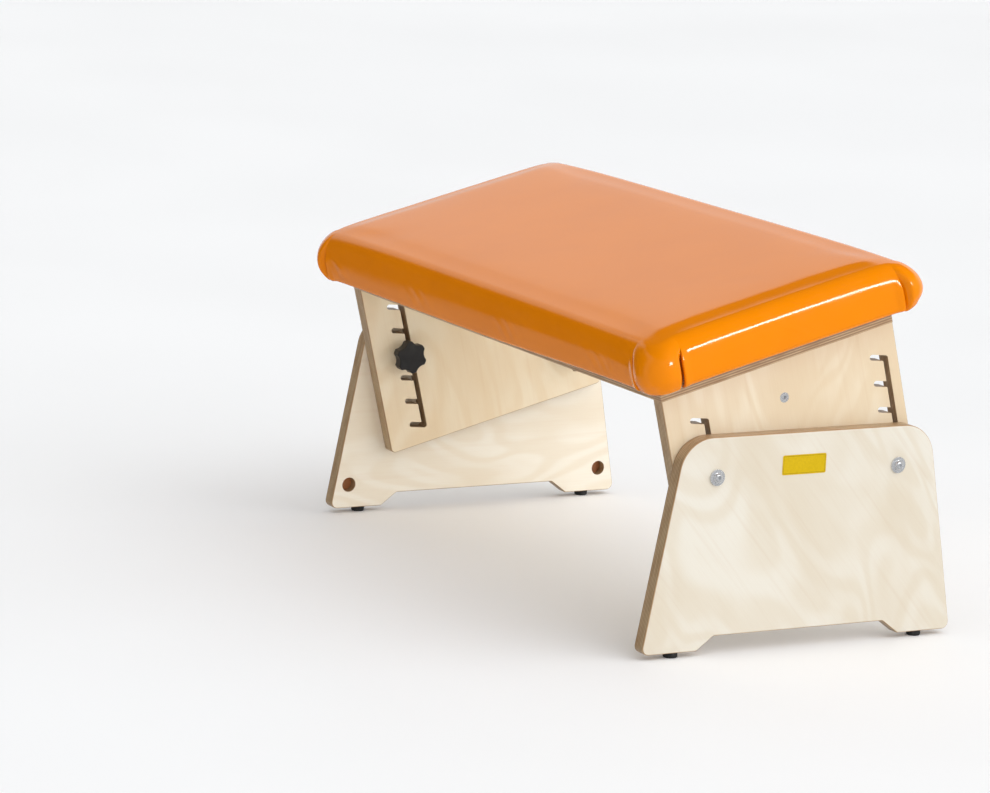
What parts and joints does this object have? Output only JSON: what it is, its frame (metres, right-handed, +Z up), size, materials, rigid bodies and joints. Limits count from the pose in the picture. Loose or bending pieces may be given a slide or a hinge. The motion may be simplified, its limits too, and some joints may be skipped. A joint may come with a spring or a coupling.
{
  "type": "adjustable padded bench",
  "caption": "Low padded bench on two plywood end frames, with notched slots and star knobs that set its height and tilt.",
  "frame": {"origin": "on the floor, at the centre of the bench's footprint box", "axes": "+X along the bench towards its right end, +Y towards the high rear edge of the tilted seat, +Z up"},
  "size_m": [0.804, 0.4196, 0.4306],
  "materials": {
    "birch_plywood": "clear lacquered birch plywood, pale faces and banded brown edges",
    "orange_vinyl": "glossy coated fabric, fine grain",
    "foam": "open-cell polyurethane foam",
    "zinc_steel": "bright zinc plate",
    "brass": "turned brass",
    "black_plastic": "moulded nylon, satin",
    "black_rubber": "moulded rubber",
    "yellow_label": "blank vinyl sticker",
    "beech_dowel": "plain beech"
  },
  "bodies": {
    "seat": {"cushion_cover": "orange_vinyl", "cushion_foam": "foam", "cushion_base": "birch_plywood", "cushion_staples": "zinc_steel", "cushion_screws": "zinc_steel", "seat_board": "birch_plywood", "board_dowels": "beech_dowel", "board_screws": "zinc_steel", "ladder_panel_right": "birch_plywood", "ladder_panel_left": "birch_plywood", "gusset_right": "birch_plywood", "gusset_left": "birch_plywood", "gusset_bolts": "zinc_steel", "gusset_barrel_nuts": "zinc_steel", "gusset_screws": "zinc_steel"},
    "right_foot": {"foot_panel_right": "birch_plywood", "glide_screws_right": "zinc_steel", "glide_right_front": "black_rubber", "clamp_bolt_right_front": "zinc_steel", "outer_washer_right_front": "zinc_steel", "glide_right_rear": "black_rubber", "clamp_bolt_right_rear": "zinc_steel", "outer_washer_right_rear": "zinc_steel", "blank_label": "yellow_label"},
    "left_foot": {"foot_panel_left": "birch_plywood", "glide_screws_left": "zinc_steel", "glide_left_front": "black_rubber", "clamp_bolt_left_front": "zinc_steel", "outer_washer_left_front": "zinc_steel", "glide_left_rear": "black_rubber", "clamp_bolt_left_rear": "zinc_steel", "outer_washer_left_rear": "zinc_steel"},
    "right_front_washer": {"penny_washer_right_front": "zinc_steel"},
    "right_front_knob": {"knob_right_front": "black_plastic", "knob_insert_right_front": "brass"},
    "right_rear_washer": {"penny_washer_right_rear": "zinc_steel"},
    "right_rear_knob": {"knob_right_rear": "black_plastic", "knob_insert_right_rear": "brass"},
    "left_front_washer": {"penny_washer_left_front": "zinc_steel"},
    "left_front_knob": {"knob_left_front": "black_plastic", "knob_insert_left_front": "brass"},
    "left_rear_washer": {"penny_washer_left_rear": "zinc_steel"},
    "left_rear_knob": {"knob_left_rear": "black_plastic", "knob_insert_left_rear": "brass"}
  },
  "joints": [
    {"name": "right_foot_slide", "type": "slide", "parent": "seat", "child": "right_foot", "axis": [0, 0.9969, -0.0789], "range_m": [0, 0.0092]},
    {"name": "left_foot_slide", "type": "slide", "parent": "seat", "child": "left_foot", "axis": [0, 0.9969, -0.0789], "range_m": [0, 0.0092]},
    {"name": "right_front_washer_slide", "type": "slide", "parent": "right_foot", "child": "right_front_washer", "axis": [-1, 0, 0], "range_m": [0, 0.008]},
    {"name": "right_front_knob_turn", "type": "hinge", "parent": "right_front_washer", "child": "right_front_knob", "pos_m": [0.346, -0.10525, 0.1978], "axis": [-1, 0, 0], "range_deg": [0, 2880]},
    {"name": "right_rear_washer_slide", "type": "slide", "parent": "right_foot", "child": "right_rear_washer", "axis": [-1, 0, 0], "range_m": [0, 0.008]},
    {"name": "right_rear_knob_turn", "type": "hinge", "parent": "right_rear_washer", "child": "right_rear_knob", "pos_m": [0.346, 0.12805, 0.1978], "axis": [-1, 0, 0], "range_deg": [0, 2880]},
    {"name": "left_front_washer_slide", "type": "slide", "parent": "left_foot", "child": "left_front_washer", "axis": [1, 0, 0], "range_m": [0, 0.008]},
    {"name": "left_front_knob_turn", "type": "hinge", "parent": "left_front_washer", "child": "left_front_knob", "pos_m": [-0.346, -0.10525, 0.1978], "axis": [1, 0, 0], "range_deg": [0, 2880]},
    {"name": "left_rear_washer_slide", "type": "slide", "parent": "left_foot", "child": "left_rear_washer", "axis": [1, 0, 0], "range_m": [0, 0.008]},
    {"name": "left_rear_knob_turn", "type": "hinge", "parent": "left_rear_washer", "child": "left_rear_knob", "pos_m": [-0.346, 0.12805, 0.1978], "axis": [1, 0, 0], "range_deg": [0, 2880]}
  ],
  "couplings": [
    {"joint": "right_front_washer_slide", "follows": "right_front_knob_turn", "m_per_rad": 0.00015915},
    {"joint": "right_rear_washer_slide", "follows": "right_rear_knob_turn", "m_per_rad": 0.00015915},
    {"joint": "left_front_washer_slide", "follows": "left_front_knob_turn", "m_per_rad": 0.00015915},
    {"joint": "left_rear_washer_slide", "follows": "left_rear_knob_turn", "m_per_rad": 0.00015915}
  ]
}
